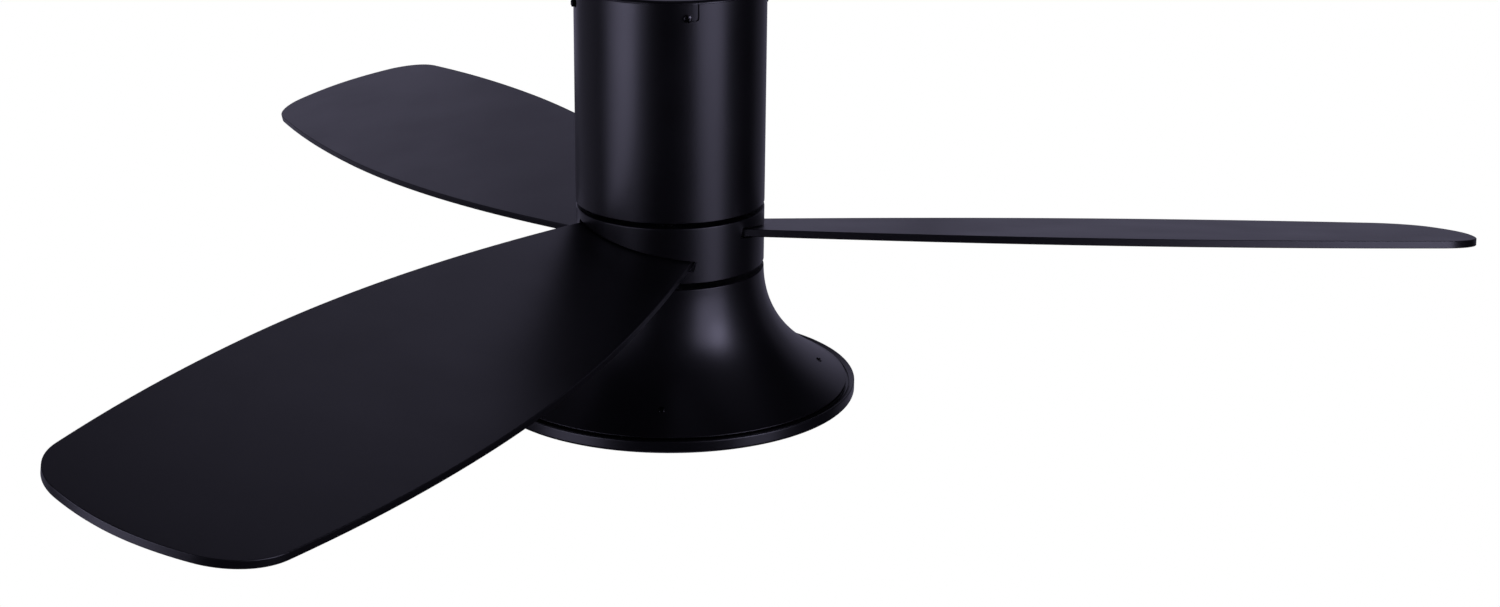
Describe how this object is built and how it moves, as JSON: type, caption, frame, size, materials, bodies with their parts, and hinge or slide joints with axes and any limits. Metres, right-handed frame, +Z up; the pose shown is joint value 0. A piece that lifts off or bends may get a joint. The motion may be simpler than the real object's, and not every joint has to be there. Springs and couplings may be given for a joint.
{
  "type": "ceiling fan with light",
  "caption": "Low-profile ceiling fan: cylindrical housing, turning hub band with rounded flat blades, and a flared bell with a built-in round light, all satin black.",
  "frame": {"origin": "centre of the outlet-box screw pattern on the ceiling plate's top face, on the fan's axis in the ceiling plane", "axes": "+Z up into the ceiling, along the motor shaft; the fan hangs towards -Z; +X nearly along the first blade"},
  "size_m": [1.0565, 1.1833, 0.3418],
  "materials": {
    "black_metal": "satin",
    "black_blade": "satin",
    "black_trim": "satin",
    "black_screw": "satin",
    "zinc_steel": "satin",
    "steel": "satin",
    "cast_alloy": "satin",
    "bearing_steel": "polished",
    "cage_brass": "satin",
    "silicon_steel": "matte",
    "copper_wire": "gloss",
    "magnet": "matte",
    "plastic_dark": "matte",
    "plastic_white": "satin",
    "circuit_green": "satin",
    "led_white": "satin",
    "led_phosphor": "gloss",
    "wire_jacket": "matte",
    "wire_coloured": "matte",
    "nut_orange": "satin",
    "ground_green": "satin",
    "opal": "satin"
  },
  "bodies": {
    "root": {"ceiling_plate": "black_metal", "motor_yoke": "steel", "yoke_bolts": "zinc_steel", "ground_screw": "ground_green", "housing": "black_metal", "housing_screws": "black_screw", "motor_shaft": "zinc_steel", "shaft_nuts": "steel", "shaft_split_pin": "zinc_steel", "stator_core": "silicon_steel", "stator_windings": "copper_wire", "upper_bearing_inner_race": "bearing_steel", "lower_bearing_inner_race": "bearing_steel", "receiver_case": "plastic_dark", "receiver_lid": "plastic_dark", "receiver_board": "circuit_green", "supply_leads": "wire_coloured", "wire_nuts": "nut_orange", "motor_leads": "wire_jacket", "light_harness": "wire_jacket", "harness_plug": "plastic_white", "harness_socket": "plastic_white", "light_bracket": "zinc_steel", "bracket_screws": "zinc_steel", "light_bell": "black_metal", "bell_screws": "black_screw", "led_tray": "cast_alloy", "led_board": "led_white", "led_chips": "led_phosphor", "led_driver": "plastic_white", "driver_leads": "wire_jacket", "trim_ring": "black_trim", "tray_screws": "zinc_steel"},
    "rotor": {"rotor_top_cover": "cast_alloy", "rotor_bottom_cover": "cast_alloy", "rotor_ring": "steel", "rotor_magnets": "magnet", "rotor_bolts": "zinc_steel", "upper_bearing_outer_race": "bearing_steel", "lower_bearing_outer_race": "bearing_steel", "blade_carrier": "cast_alloy", "carrier_screws": "zinc_steel", "hub_band": "black_metal", "band_screws": "black_screw", "blade_1": "black_blade", "blade_2": "black_blade", "blade_3": "black_blade", "blade_clamp_plates": "zinc_steel", "blade_screws": "black_screw"},
    "upper_bearing_cage": {"upper_bearing_balls": "bearing_steel", "upper_bearing_cage": "cage_brass"},
    "lower_bearing_cage": {"lower_bearing_balls": "bearing_steel", "lower_bearing_cage": "cage_brass"},
    "diffuser": {"diffuser": "opal"}
  },
  "joints": [
    {"name": "rotor_spin", "type": "hinge", "parent": "root", "child": "rotor", "pos_m": [0, 0, -0.1992], "axis": [0, 0, 1], "continuous": true},
    {"name": "upper_cage_spin", "type": "hinge", "parent": "root", "child": "upper_bearing_cage", "pos_m": [0, 0, -0.108], "axis": [0, 0, 1], "continuous": true},
    {"name": "lower_cage_spin", "type": "hinge", "parent": "root", "child": "lower_bearing_cage", "pos_m": [0, 0, -0.16], "axis": [0, 0, 1], "continuous": true},
    {"name": "diffuser_twist", "type": "hinge", "parent": "root", "child": "diffuser", "pos_m": [0, 0, -0.3375], "axis": [0, 0, 1], "range_deg": [-20, 0]}
  ],
  "couplings": [
    {"joint": "upper_cage_spin", "follows": "rotor_spin", "ratio": 0.6},
    {"joint": "lower_cage_spin", "follows": "rotor_spin", "ratio": 0.6}
  ]
}
